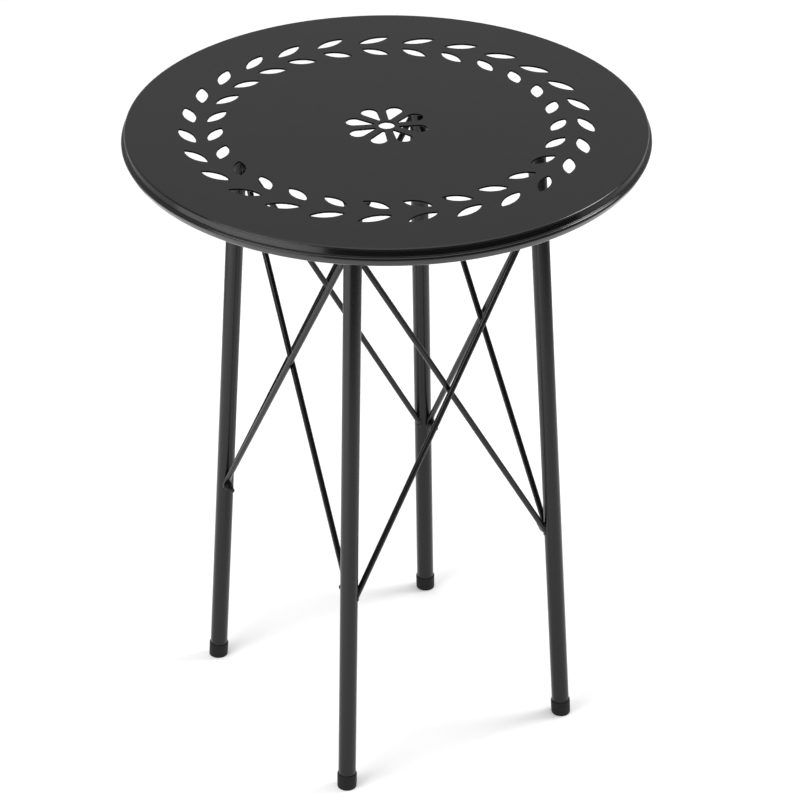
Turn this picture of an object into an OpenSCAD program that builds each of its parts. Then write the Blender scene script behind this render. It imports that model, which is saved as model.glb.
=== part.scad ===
// Round outdoor side table: a pierced steel top on four splayed tube legs with crossed rod braces.
// Origin on the floor under the middle of the top, +Z up, millimetres.
// The front and rear leg frames are welded, the left and right braces are bolted on.

/* [Table] */
// Height of the top surface above the floor
table_h = 700; // [450:5:900]
// Distance between the left and right feet, centre to centre
foot_span_x = 275; // [240:1:340]
// Distance between the front and rear feet, centre to centre
foot_span_y = 295; // [260:1:360]
// Distance between the left and right legs under the top
top_span_x = 217; // [190:1:230]
// Distance between the front and rear legs under the top
top_span_y = 239; // [210:1:244]

/* [Top] */
// Diameter of the flat face of the top
face_d = 544; // [500:0.5:700]
// Thickness of the sheet steel
sheet_t = 2; // [1:0.1:2.1]
// Radius of the bend between the face and the rim
rim_bend_r = 2.2; // [2.1:0.1:4]
// Radius of the hollow where the straight band turns out into the hem
hollow_r = 0.9; // [0.5:0.1:1.2]
// Radius of the nose where the hem turns down and back inward
nose_r = 2.4; // [2.1:0.1:3]
// Distance of the nose's centre outside the straight band
nose_out = 0.8; // [0.6:0.1:1.6]
// Distance of the nose's centre below the top surface
nose_drop = 11.2; // [9:0.1:16]
// Radius of the roll along the lower edge of the hem
roll_r = 5.4; // [4:0.1:6]
// Distance of the roll's centre inside the straight band
roll_in = 4.6; // [3:0.1:6]
// Distance of the roll's centre below the nose's centre
roll_drop = 3.8; // [3:0.1:6]
// Direction in which the rolled edge stops, seen from the roll's centre, in degrees
roll_end = 150; // [120:5:180]

/* [Wreath] */
// Pairs of leaves in the wreath
leaf_pairs = 27; // [24:1:28]
// Direction of the first pair of leaves from the middle of the top, in degrees
wreath_turn = 102.8; // [90:0.1:115]
// Angle by which the equal steps of the wreath add up to more than a full turn, in degrees
wreath_lap = 0.85; // [0:0.05:1]
// Radius of the circle through the outer leaves
outer_leaf_r = 206.9; // [204:0.1:216]
// Length of an outer leaf
outer_leaf_l = 36; // [30:0.5:39]
// Width of an outer leaf
outer_leaf_w = 13; // [9:0.5:14]
// Lean of an outer leaf from the circle, in degrees
outer_leaf_lean = 23.5; // [20:0.5:28]
// Radius of the circle through the inner leaves
inner_leaf_r = 178; // [176:0.1:180]
// Length of an inner leaf
inner_leaf_l = 31.5; // [28:0.5:34]
// Width of an inner leaf
inner_leaf_w = 13.3; // [9:0.1:14]
// Lean of an inner leaf from the circle, in degrees
inner_leaf_lean = -28; // [-32:0.5:-24]
// Radius of the tips of the leaves
leaf_tip_r = 1.4; // [0.8:0.1:2]

/* [Flower] */
// Petals of the flower
petal_count = 8; // [5:1:8]
// Turn of the flower about the middle of the top, in degrees
flower_turn = 1.6; // [-20:0.1:20]
// Radius of the round outer end of a petal
petal_r = 8.7; // [5:0.1:10]
// Distance from the middle of the top to the centre of the petal's round end
petal_out = 34.9; // [32:0.1:50]
// Distance from the middle of the top to the petal's narrow end
petal_in = 13; // [12:0.5:20]
// Radius of the petal's narrow end
petal_tip_r = 1.5; // [0.8:0.1:2]
// Diameter of the round hole in the middle
eye_d = 17.5; // [8:0.5:20]

/* [Leg frames] */
// Outer diameter of the leg tubes
tube_d = 19; // [16:0.5:20]
// Wall of the leg tubes
tube_wall = 1.5; // [1:0.1:2.5]
// Thickness of the flat rails that carry the top
rail_t = 5; // [4:0.5:6]
// Width of the rails
rail_w = 18; // [16:0.5:20]
// Diameter of the brace rods
brace_d = 6.4; // [5:0.1:7]
// Height at which a brace's line meets the line of its lower leg
brace_low_z = 223; // [160:1:260]
// Distance under the top surface at which a brace's line meets the line of its upper leg
brace_top_drop = 59; // [50:1:90]
// Gap between two braces where they cross
brace_pass_gap = 0.6; // [0.5:0.1:2]

/* [Bolted brace ends] */
// Thickness of the flattened brace end
tab_t = 2.6; // [2:0.1:3]
// Width of the flattened brace end
tab_w = 9.6; // [9:0.1:11]
// Distance from the bend of the flattened end to the stud
tab_drop = 7; // [7:0.5:12]
// Diameter of the studs that hold the braces
brace_stud_d = 5; // [4:0.5:5]
// Reach of the studs beyond the face of the tube
brace_stud_reach = 15.5; // [12:0.5:18]

/* [Top fixing] */
// Diameter of the studs under the top
top_stud_d = 6; // [5:0.5:8]
// Distance from the middle of a rail to each stud
top_stud_x = 70; // [40:1:80]
// Length of the studs under the top
top_stud_l = 15; // [14:0.5:17]

/* [Foot caps] */
// Outer diameter of a foot cap
cap_d = 21.2; // [20.6:0.1:26]
// Height of a foot cap
cap_h = 17; // [12:0.5:30]
// Thickness of the sole under the tube
cap_sole = 4; // [2:0.5:8]

/* [Fits] */
// Gap between pieces that are welded or pressed together
seat_gap = 0.1; // [0.05:0.05:0.2]
// Play of a stud in the hole it passes through, on the diameter
hole_play = 0.4; // [0.2:0.1:0.6]
// Play of a nut or washer on its stud, on the diameter
thread_play = 0.1; // [0.1:0.05:0.3]

/* [Hidden] */

// Smooth circles are exact, and hulls keep a coarser count
$fn = 96;
hull_fn = 24;
// Overlap of cutting shapes beyond the face that they cut
cut = 1;
// How far curves that touch cross each other, so that the solid closes
sink = 0.01;

paint = [0.16, 0.16, 0.17];
dark_paint = [0.1, 0.1, 0.11];
rubber = [0.07, 0.07, 0.07];
black_zinc = [0.13, 0.13, 0.14];

// Rim and rails, worked down from the top surface
face_r = face_d / 2;
nose = [face_r + nose_out, table_h - nose_drop];
roll = [face_r - roll_in, nose.y - roll_drop];
// Direction that the hem's straight side faces, which touches the nose and the roll
hem_facing = atan2(roll.y - nose.y, roll.x - nose.x) + acos((nose_r - roll_r) / norm(roll - nose));
// The hollow touches the band and the nose, and this is its direction from the nose
hollow_rise = sqrt(pow(nose_r + hollow_r, 2) - pow(hollow_r - nose_out, 2));
hollow = [face_r + hollow_r, nose.y + hollow_rise];
hollow_from_nose = atan2(hollow_rise, hollow_r - nose_out);
under_face_z = table_h - sheet_t;
rail_z = under_face_z - rail_t;
tube_r = tube_d / 2;
brace_high_z = table_h - brace_top_drop;
brace_shift = (brace_d + brace_pass_gap) / 2;

// Legs, each with the signs of its corner: 0 front left, 1 front right, 2 rear right, 3 rear left
corners = [[-1, -1], [1, -1], [1, 1], [-1, 1]];
function foot_point(leg) = [corners[leg].x * foot_span_x / 2, corners[leg].y * foot_span_y / 2, 0];
function top_point(leg) = [corners[leg].x * top_span_x / 2, corners[leg].y * top_span_y / 2, rail_z];
function unit(v) = v / norm(v);
function leg_dir(leg) = unit(top_point(leg) - foot_point(leg));
// The point of a leg's axis at a height above the floor
function leg_at(leg, z) = foot_point(leg) + leg_dir(leg) * z / leg_dir(leg).z;
// Turns that lay the z axis along a leg: first about x, then about y
function lean_x(leg) = asin(-leg_dir(leg).y);
function lean_y(leg) = atan2(leg_dir(leg).x, leg_dir(leg).z);
// The leg's own y axis, square to the tube
function leg_side(leg) = [sin(lean_x(leg)) * sin(lean_y(leg)), cos(lean_x(leg)),
                          sin(lean_x(leg)) * cos(lean_y(leg))];

// Bolted braces: lower leg, upper leg, and 1 where it passes outside its partner or -1 inside
left_outer = [3, 0, 1];
left_inner = [0, 3, -1];
right_outer = [2, 1, 1];
right_inner = [1, 2, -1];
bolted = [left_outer, left_inner, right_outer, right_inner];
// Sideways place of a bolted brace, and the ends of its line on the two leg axes
function side_shift(b) = corners[b[0]].x * b[2] * brace_shift;
function line_end(b, end) = leg_at(b[end], end == 0 ? brace_low_z : brace_high_z) + [side_shift(b), 0, 0];
// Direction of the brace from one of its ends towards the other
function line_dir(b, end) = unit(line_end(b, 1 - end) - line_end(b, end));
// Distance from a leg's axis to the middle of the flattened end that lies on its inner face
tab_mid = tube_r + seat_gap + tab_t / 2;
// The point where the brace's line meets the flattened end, which is where it bends
function bend_point(b, end) =
    let (leg = b[end], inward = -corners[leg].y * tab_mid,
         run = (inward - side_shift(b) * leg_side(leg).x) / (line_dir(b, end) * leg_side(leg)))
    line_end(b, end) + line_dir(b, end) * run;
// The same point's distance up the leg, and that of the stud beyond it
function bend_up(b, end) = (bend_point(b, end) - foot_point(b[end])) * leg_dir(b[end]);
function stud_up(b, end) = bend_up(b, end) + (end == 0 ? -tab_drop : tab_drop);
// Distance from the bend at which the rod starts inside the end of the flattening stretch
round_run = brace_d * 1.1;
neck_lap = 0.6;
neck_step = 0.4;
function rod_start(b, end) = bend_point(b, end) + line_dir(b, end) * round_run;
// Every stud, as leg, sideways place and distance up the leg
studs = [for (b = bolted, end = [0, 1]) [b[end], side_shift(b), stud_up(b, end)]];

washer_d = 10;
washer_t = 1;
nut_af = 8;
nut_h = 4.7;
top_washer_d = 12;
top_washer_t = 1.2;
top_nut_af = 10;
top_nut_h = 5;
af_to_corners = 1 / cos(30);

// Lays a leg's own axes: z along the tube from its foot, y towards the rear
module on_leg(leg) {
    translate(foot_point(leg))
        rotate([lean_x(leg), lean_y(leg), 0])
            children();
}

// Lays the z axis from a stud's place on the inner face of its leg towards the other leg
module on_stud(stud) {
    inward = -corners[stud[0]].y;
    on_leg(stud[0])
        translate([stud[1], 0, stud[2]])
            rotate([-90 * inward, 0, 0])
                children();
}

// Lays the z axis along a direction from a point
module along(point, dir) {
    translate(point)
        rotate([0, acos(dir.z), atan2(dir.y, dir.x)])
            children();
}

// A leaf is the lens between two equal arcs, with round tips
module leaf(length, width) {
    reach = length / 2 - leaf_tip_r;
    arc_r = (reach * reach / (width / 2 - leaf_tip_r) + leaf_tip_r + width / 2) / 2;
    touch_x = reach * arc_r / (arc_r - leaf_tip_r);
    intersection() {
        translate([0, arc_r - width / 2]) circle(r = arc_r);
        translate([0, width / 2 - arc_r]) circle(r = arc_r);
        square([2 * touch_x, 2 * width], center = true);
    }
    for (x = [-reach, reach])
        translate([x, 0]) circle(r = leaf_tip_r + sink);
}

module leaf_ring(radius, length, width, lean) {
    for (i = [0 : leaf_pairs - 1])
        rotate(wreath_turn + i * (360 + wreath_lap) / leaf_pairs)
            translate([radius, 0])
                rotate(90 + lean)
                    leaf(length, width);
}

// A petal is a wide and a narrow round end joined by straight sides that touch both
module petal() {
    narrow = petal_in + petal_tip_r;
    spread = asin((petal_r - petal_tip_r) / (petal_out - narrow));
    translate([petal_out, 0]) circle(r = petal_r);
    translate([narrow, 0]) circle(r = petal_tip_r);
    toward = [-sin(spread), cos(spread)];
    away = [-sin(spread), -cos(spread)];
    polygon([
        [narrow, 0] + (petal_tip_r - sink) * toward,
        [petal_out, 0] + (petal_r - sink) * toward,
        [petal_out, 0] + (petal_r - sink) * away,
        [narrow, 0] + (petal_tip_r - sink) * away
    ]);
}

module flower() {
    circle(d = eye_d);
    for (i = [0 : petal_count - 1])
        rotate(flower_turn + i * 360 / petal_count)
            petal();
}

// Points of an arc round a centre, between two directions from it
function arc(centre, radius, from, to, steps, first = 0) =
    [for (i = [first : steps])
        let (turn = from + (to - from) * i / steps)
            centre + radius * [cos(turn), sin(turn)]];

// A skin of the rim from the face to the end of the roll: the outer one, or one set in from it
function rim_skin(inset) = concat(
    arc([face_r - rim_bend_r, table_h - rim_bend_r], rim_bend_r - inset, 90, 0, 5),
    arc(hollow, hollow_r + inset, 180, 180 + hollow_from_nose, 5),
    arc(nose, nose_r - inset, hollow_from_nose, hem_facing, 8, 1),
    arc(roll, roll_r - inset, hem_facing, roll_end - 360, 14)
);

// Section of the sheet: flat face, straight band, and a hem that ends in an open roll
module top_section() {
    inner = rim_skin(sheet_t);
    polygon(concat(
        [[0, table_h]],
        rim_skin(0),
        [for (i = [1 : len(inner)]) inner[len(inner) - i]],
        [[0, under_face_z]]
    ));
}

module table_top() {
    color(paint)
        difference() {
            rotate_extrude() top_section();
            translate([0, 0, under_face_z - cut])
                linear_extrude(sheet_t + 2 * cut) {
                    leaf_ring(outer_leaf_r, outer_leaf_l, outer_leaf_w, outer_leaf_lean);
                    leaf_ring(inner_leaf_r, inner_leaf_l, inner_leaf_w, inner_leaf_lean);
                    flower();
                }
        }
}

// A flat bar with round ends, one over each leg of its frame
module rail(side) {
    color(dark_paint)
        translate([0, side * top_span_y / 2, rail_z])
            linear_extrude(rail_t)
                difference() {
                    union() {
                        square([top_span_x, rail_w], center = true);
                        for (x = [-1, 1] * top_span_x / 2)
                            translate([x, 0]) circle(d = rail_w);
                    }
                    for (x = [-1, 1] * top_stud_x)
                        translate([x, 0]) circle(d = top_stud_d + hole_play);
                }
}

// A tube cut square in its cap and level under the rail, with a hole for each of its two studs
module leg(leg) {
    color(paint)
        difference() {
            on_leg(leg)
                difference() {
                    translate([0, 0, cap_sole])
                        cylinder(h = table_h - cap_sole, d = tube_d);
                    cylinder(h = table_h + cut, r = tube_r - tube_wall);
                }
            translate([-table_h / 2, -table_h / 2, rail_z])
                cube(table_h);
            for (stud = studs)
                if (stud[0] == leg)
                    on_stud(stud)
                        cylinder(h = tube_d, d = brace_stud_d + hole_play);
        }
}

// A moulded cup round the end of the tube, cut level where it stands on the floor
module foot_cap(leg) {
    bore_r = tube_r + seat_gap;
    lip = 0.6;
    color(rubber)
        intersection() {
            on_leg(leg)
                rotate_extrude()
                    polygon([
                        [0, -cap_sole],
                        [cap_d / 2, -cap_sole],
                        [cap_d / 2, cap_h - lip],
                        [cap_d / 2 - lip, cap_h],
                        [bore_r, cap_h],
                        [bore_r, cap_sole - seat_gap],
                        [0, cap_sole - seat_gap]
                    ]);
            translate([-foot_span_x, -foot_span_y, 0])
                cube([2 * foot_span_x, 2 * foot_span_y, cap_h * 2]);
        }
}

// A rod of a welded frame: straight between two tubes, its ends cut to their round
module welded_brace(low_leg, high_leg, pass) {
    shift = [0, corners[low_leg].y * pass * brace_shift, 0];
    from = leg_at(low_leg, brace_low_z) + shift;
    to = leg_at(high_leg, brace_high_z) + shift;
    color(paint)
        difference() {
            along(from, unit(to - from))
                cylinder(h = norm(to - from), d = brace_d);
            for (leg = [low_leg, high_leg])
                on_leg(leg)
                    cylinder(h = table_h, r = tube_r + seat_gap);
        }
}

// The flat of a bolted brace: from the bend past the stud, with a round end
module tab(b, end) {
    leg = b[end];
    away = end == 0 ? -1 : 1;
    on_leg(leg)
        translate([side_shift(b), -corners[leg].y * tab_mid, stud_up(b, end)])
            rotate([90, 0, 0])
                translate([0, 0, -tab_t / 2])
                    linear_extrude(tab_t)
                        difference() {
                            union() {
                                circle(d = tab_w);
                                translate([-tab_w / 2, away < 0 ? 0 : -tab_drop])
                                    square([tab_w, tab_drop]);
                            }
                            circle(d = brace_stud_d + hole_play);
                        }
}

// The stretch where the rod flattens: it starts inside the flat and ends in a small step round the rod
module tab_neck(b, end) {
    leg = b[end];
    hull() {
        on_leg(leg)
            translate([side_shift(b), -corners[leg].y * tab_mid, bend_up(b, end)])
                cube([tab_w - neck_step, tab_t - neck_step, neck_lap], center = true);
        along(rod_start(b, end), line_dir(b, end))
            cylinder(h = neck_lap, d = brace_d + neck_step, $fn = hull_fn);
    }
}

// A rod that is bolted on: round between two flattened ends
module bolted_brace(b) {
    from = rod_start(b, 0);
    to = rod_start(b, 1);
    color(paint)
        union() {
            along(from, unit(to - from))
                cylinder(h = norm(to - from), d = brace_d);
            for (end = [0, 1]) {
                tab(b, end);
                tab_neck(b, end);
            }
        }
}

// Threaded studs welded in the legs, with chamfered tips
module brace_studs() {
    chamfer = 0.6;
    root = tube_r - tube_wall;
    color(black_zinc)
        for (stud = studs)
            on_stud(stud)
                rotate_extrude()
                    polygon([
                        [0, root],
                        [brace_stud_d / 2, root],
                        [brace_stud_d / 2, tube_r + brace_stud_reach - chamfer],
                        [brace_stud_d / 2 - chamfer, tube_r + brace_stud_reach],
                        [0, tube_r + brace_stud_reach]
                    ]);
}

module washer(outer, bore, thickness) {
    difference() {
        cylinder(h = thickness, d = outer);
        translate([0, 0, -cut]) cylinder(h = thickness + 2 * cut, d = bore);
    }
}

module hex_nut(af, bore, height) {
    difference() {
        cylinder(h = height, d = af * af_to_corners, $fn = 6);
        translate([0, 0, -cut]) cylinder(h = height + 2 * cut, d = bore);
    }
}

brace_washer_z = tab_mid + tab_t / 2;

module brace_washers() {
    color(black_zinc)
        for (stud = studs)
            on_stud(stud)
                translate([0, 0, brace_washer_z])
                    washer(washer_d, brace_stud_d + thread_play, washer_t);
}

module brace_nuts() {
    color(black_zinc)
        for (stud = studs)
            on_stud(stud)
                translate([0, 0, brace_washer_z + washer_t])
                    hex_nut(nut_af, brace_stud_d + thread_play, nut_h);
}

// Lays the z axis down from the underside of the top at each of its studs
module at_top_studs() {
    for (x = [-1, 1] * top_stud_x, y = [-1, 1] * top_span_y / 2)
        translate([x, y, under_face_z])
            rotate([180, 0, 0])
                children();
}

module top_studs() {
    color(black_zinc)
        at_top_studs()
            cylinder(h = top_stud_l, d = top_stud_d);
}

module top_washers() {
    color(black_zinc)
        at_top_studs()
            translate([0, 0, rail_t])
                washer(top_washer_d, top_stud_d + thread_play, top_washer_t);
}

module top_nuts() {
    color(black_zinc)
        at_top_studs()
            translate([0, 0, rail_t + top_washer_t])
                hex_nut(top_nut_af, top_stud_d + thread_play, top_nut_h);
}

table_top();
rail(-1);  // front_rail
rail(1);  // rear_rail
leg(0);  // leg_front_left
leg(1);  // leg_front_right
leg(2);  // leg_rear_right
leg(3);  // leg_rear_left
foot_cap(0);  // foot_cap_front_left
foot_cap(1);  // foot_cap_front_right
foot_cap(2);  // foot_cap_rear_right
foot_cap(3);  // foot_cap_rear_left
welded_brace(0, 1, 1);  // front_brace_outer
welded_brace(1, 0, -1);  // front_brace_inner
welded_brace(3, 2, 1);  // rear_brace_outer
welded_brace(2, 3, -1);  // rear_brace_inner
bolted_brace(left_outer);  // left_brace_outer
bolted_brace(left_inner);  // left_brace_inner
bolted_brace(right_outer);  // right_brace_outer
bolted_brace(right_inner);  // right_brace_inner
brace_studs();
brace_washers();
brace_nuts();
top_studs();
top_washers();
top_nuts();
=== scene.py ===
import bpy
import bmesh
import math
from mathutils import Matrix, Vector, noise


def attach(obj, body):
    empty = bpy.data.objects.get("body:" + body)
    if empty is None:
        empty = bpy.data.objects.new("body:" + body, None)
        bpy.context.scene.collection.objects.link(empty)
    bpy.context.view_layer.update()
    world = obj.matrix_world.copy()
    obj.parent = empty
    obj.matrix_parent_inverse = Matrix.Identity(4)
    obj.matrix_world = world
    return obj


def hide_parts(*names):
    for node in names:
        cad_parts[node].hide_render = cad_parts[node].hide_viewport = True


# Round garden side table: pierced steel top, four splayed tube legs, crossed rods.
# Metres and degrees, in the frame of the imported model: +Z up, X to the right legs, Y to the rear.
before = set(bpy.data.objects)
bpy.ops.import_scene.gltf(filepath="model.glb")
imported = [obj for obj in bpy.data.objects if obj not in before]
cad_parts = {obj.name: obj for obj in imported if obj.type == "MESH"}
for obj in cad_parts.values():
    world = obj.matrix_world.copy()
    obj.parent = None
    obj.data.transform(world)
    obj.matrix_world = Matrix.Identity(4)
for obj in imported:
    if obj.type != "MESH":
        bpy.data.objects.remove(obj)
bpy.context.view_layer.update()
scene = bpy.context.scene
print("frame loaded,", len(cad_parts), "nodes")

stance = {
    "height": 0.700,
    "footSpan": (0.275, 0.295),   # between foot centres: left to right, front to rear
    "topSpan": (0.217, 0.239),    # the same between the legs under the top
    "sheet": 0.002,
    "rail": 0.005,
}
underZ = stance["height"] - stance["sheet"]
railZ = underZ - stance["rail"]
near = {
    "merge": 2e-6,         # points closer than this become one
    "ringMerge": 1e-6,     # the same within one ring or one lathed form
    "level": 1e-6,         # how far off its level a point may be
    "upright": 0.99999,    # how upright the normal of a flat face is
}
corners = [(-1, -1), (1, -1), (1, 1), (-1, 1)]
cornerNames = ["front_left", "front_right", "rear_right", "rear_left"]


def pieceName(words):
    parts = words.split("_")
    return parts[0] + "".join(p.capitalize() for p in parts[1:])


def linkMesh(bm, name):
    mesh = bpy.data.meshes.new(name)
    bm.to_mesh(mesh)
    bm.free()
    obj = bpy.data.objects.new(name, mesh)
    scene.collection.objects.link(obj)
    return obj


def finishPiece(bm, name, material, nodes, sharp=35, flat=None):
    # smooth shading, broken at edges sharper than `sharp`; `flat` picks faces that stay flat
    bmesh.ops.remove_doubles(bm, verts=bm.verts, dist=near["merge"])
    bmesh.ops.recalc_face_normals(bm, faces=bm.faces)
    for f in bm.faces:
        f.smooth = not (flat and flat(f))
    for e in bm.edges:
        if len(e.link_faces) == 2 and e.calc_face_angle(0) > math.radians(sharp):
            e.smooth = False
    obj = linkMesh(bm, name)
    obj.data.materials.append(material)
    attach(obj, "root")
    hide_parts(*nodes)
    print("piece", name, len(obj.data.polygons), "faces")


def footPoint(leg):
    return Vector([corners[leg][i] * stance["footSpan"][i] / 2 for i in (0, 1)] + [0])


def legDirection(leg):
    top = Vector([corners[leg][i] * stance["topSpan"][i] / 2 for i in (0, 1)] + [railZ])
    return (top - footPoint(leg)).normalized()


def legAt(leg, z):
    d = legDirection(leg)
    return footPoint(leg) + d * (z / d.z)


def legFrame(leg):
    # z runs up the tube, y points to the rear
    d = legDirection(leg)
    turnX = Matrix.Rotation(math.asin(-d.y), 4, "X")
    turnY = Matrix.Rotation(math.atan2(d.x, d.z), 4, "Y")
    return Matrix.Translation(footPoint(leg)) @ turnY @ turnX


def aimZ(point, direction):
    turn = Vector(direction).to_track_quat("Z", "Y").to_matrix().to_4x4()
    return Matrix.Translation(point) @ turn


def arc(centre, radius, start, end, steps):
    turns = [math.radians(start + (end - start) * i / steps) for i in range(steps + 1)]
    return [(centre[0] + radius * math.cos(t), centre[1] + radius * math.sin(t)) for t in turns]


def lathe(bm, profile, steps, place=Matrix()):
    # spins an (r, z) profile round the z axis of `place`
    known = set(bm.verts)
    verts = [bm.verts.new((r, 0, z)) for r, z in profile]
    edges = [bm.edges.new(pair) for pair in zip(verts, verts[1:])]
    bmesh.ops.spin(bm, geom=verts + edges, cent=(0, 0, 0), axis=(0, 0, 1), angle=2 * math.pi,
                   steps=steps, use_merge=True)
    made = [v for v in bm.verts if v not in known]
    bmesh.ops.transform(bm, matrix=place, verts=made)
    bmesh.ops.remove_doubles(bm, verts=made, dist=near["ringMerge"])


def rod(bm, start, end, radius, segments=40):
    run = Vector(end) - Vector(start)
    middle = Matrix.Translation(Vector((0, 0, run.length / 2)))
    bmesh.ops.create_cone(bm, cap_ends=True, segments=segments, radius1=radius, radius2=radius,
                          depth=run.length, matrix=aimZ(start, run) @ middle)


weldRun = {"bevelSteps": 2, "grain": 900, "seedStep": 7.3, "swell": 0.32, "ripple": 0.10}


def weldBead(bm, points, radius, seed):
    # a closed run of weld along the points, swelling and thinning as a hand lays it
    curve = bpy.data.curves.new("weldRun", "CURVE")
    curve.dimensions = "3D"
    curve.bevel_depth = radius
    curve.bevel_resolution = weldRun["bevelSteps"]
    spline = curve.splines.new("POLY")
    spline.points.add(len(points) - 1)
    offset = Vector((seed * weldRun["seedStep"], 0, 0))
    for i, p in enumerate(points):
        swell = noise.noise(Vector(p) * weldRun["grain"] + offset)
        spline.points[i].co = (*p, 1)
        spline.points[i].radius = 1 + weldRun["swell"] * swell + weldRun["ripple"] * (i % 2)
    spline.use_cyclic_u = True
    holder = bpy.data.objects.new("weldRun", curve)
    scene.collection.objects.link(holder)
    shown = holder.evaluated_get(bpy.context.evaluated_depsgraph_get())
    run = bpy.data.meshes.new_from_object(shown)
    bm.from_mesh(run)
    bpy.data.objects.remove(holder)
    bpy.data.curves.remove(curve)
    bpy.data.meshes.remove(run)


# Materials

def groupSocket(group, name, direction, kind, value=None):
    socket = group.interface.new_socket(name=name, in_out=direction, socket_type=kind)
    if value is not None:
        socket.default_value = value


def addNode(tree, kind, x, y, **settings):
    node = tree.nodes.new(kind)
    node.location = (x, y)
    for key, value in settings.items():
        setattr(node, key, value)
    return node


coatGrain = {
    "driftScale": 9,
    "driftDetail": 3,
    "driftMiddle": 0.5,
    "peelDetail": 1.5,
    "gritStep": 6,      # how much finer the grit is than the peel
    "gritDetail": 2,
}


def makePowderCoat():
    # orange peel and fine grit of a baked powder coat, with a slow drift in its shade
    group = bpy.data.node_groups.new("powderCoat", "ShaderNodeTree")
    groupSocket(group, "Vector", "INPUT", "NodeSocketVector")
    groupSocket(group, "Colour", "INPUT", "NodeSocketColor", (0.03, 0.03, 0.03, 1))
    groupSocket(group, "Shade Drift", "INPUT", "NodeSocketFloat", 0.1)
    groupSocket(group, "Roughness", "INPUT", "NodeSocketFloat", 0.4)
    groupSocket(group, "Roughness Drift", "INPUT", "NodeSocketFloat", 0.05)
    groupSocket(group, "Peel Scale", "INPUT", "NodeSocketFloat", 420.0)
    groupSocket(group, "Grit", "INPUT", "NodeSocketFloat", 0.35)
    groupSocket(group, "Colour", "OUTPUT", "NodeSocketColor")
    groupSocket(group, "Roughness", "OUTPUT", "NodeSocketFloat")
    groupSocket(group, "Height", "OUTPUT", "NodeSocketFloat")
    given = addNode(group, "NodeGroupInput", -900, 0)
    out = addNode(group, "NodeGroupOutput", 700, 0)
    link = group.links.new

    drift = addNode(group, "ShaderNodeTexNoise", -600, 300)
    drift.inputs["Scale"].default_value = coatGrain["driftScale"]
    drift.inputs["Detail"].default_value = coatGrain["driftDetail"]
    link(given.outputs["Vector"], drift.inputs["Vector"])
    low = addNode(group, "ShaderNodeMath", -400, 420, operation="SUBTRACT")
    low.inputs[1].default_value = coatGrain["driftMiddle"]
    link(drift.outputs["Fac"], low.inputs[0])
    share = addNode(group, "ShaderNodeMath", -220, 420, operation="MULTIPLY_ADD")
    share.inputs[2].default_value = 1.0
    link(low.outputs[0], share.inputs[0])
    link(given.outputs["Shade Drift"], share.inputs[1])
    tint = addNode(group, "ShaderNodeVectorMath", 0, 380, operation="SCALE")
    link(given.outputs["Colour"], tint.inputs[0])
    link(share.outputs[0], tint.inputs["Scale"])
    link(tint.outputs["Vector"], out.inputs["Colour"])

    rough = addNode(group, "ShaderNodeMath", -220, 180, operation="MULTIPLY_ADD")
    link(low.outputs[0], rough.inputs[0])
    link(given.outputs["Roughness Drift"], rough.inputs[1])
    link(given.outputs["Roughness"], rough.inputs[2])
    link(rough.outputs[0], out.inputs["Roughness"])

    peel = addNode(group, "ShaderNodeTexNoise", -600, -80)
    peel.inputs["Detail"].default_value = coatGrain["peelDetail"]
    link(given.outputs["Vector"], peel.inputs["Vector"])
    link(given.outputs["Peel Scale"], peel.inputs["Scale"])
    fine = addNode(group, "ShaderNodeMath", -780, -320, operation="MULTIPLY")
    fine.inputs[1].default_value = coatGrain["gritStep"]
    link(given.outputs["Peel Scale"], fine.inputs[0])
    grit = addNode(group, "ShaderNodeTexNoise", -600, -320)
    grit.inputs["Detail"].default_value = coatGrain["gritDetail"]
    link(given.outputs["Vector"], grit.inputs["Vector"])
    link(fine.outputs[0], grit.inputs["Scale"])
    mixed = addNode(group, "ShaderNodeMath", -200, -160, operation="MULTIPLY_ADD")
    link(grit.outputs["Fac"], mixed.inputs[0])
    link(given.outputs["Grit"], mixed.inputs[1])
    link(peel.outputs["Fac"], mixed.inputs[2])
    link(mixed.outputs[0], out.inputs["Height"])
    return group


dustFall = {
    "steepest": 0.2,    # upward share of the normal where dust begins to hold
    "level": 1.0,
    "patchScale": 26,
    "patchDetail": 6,
}


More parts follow.
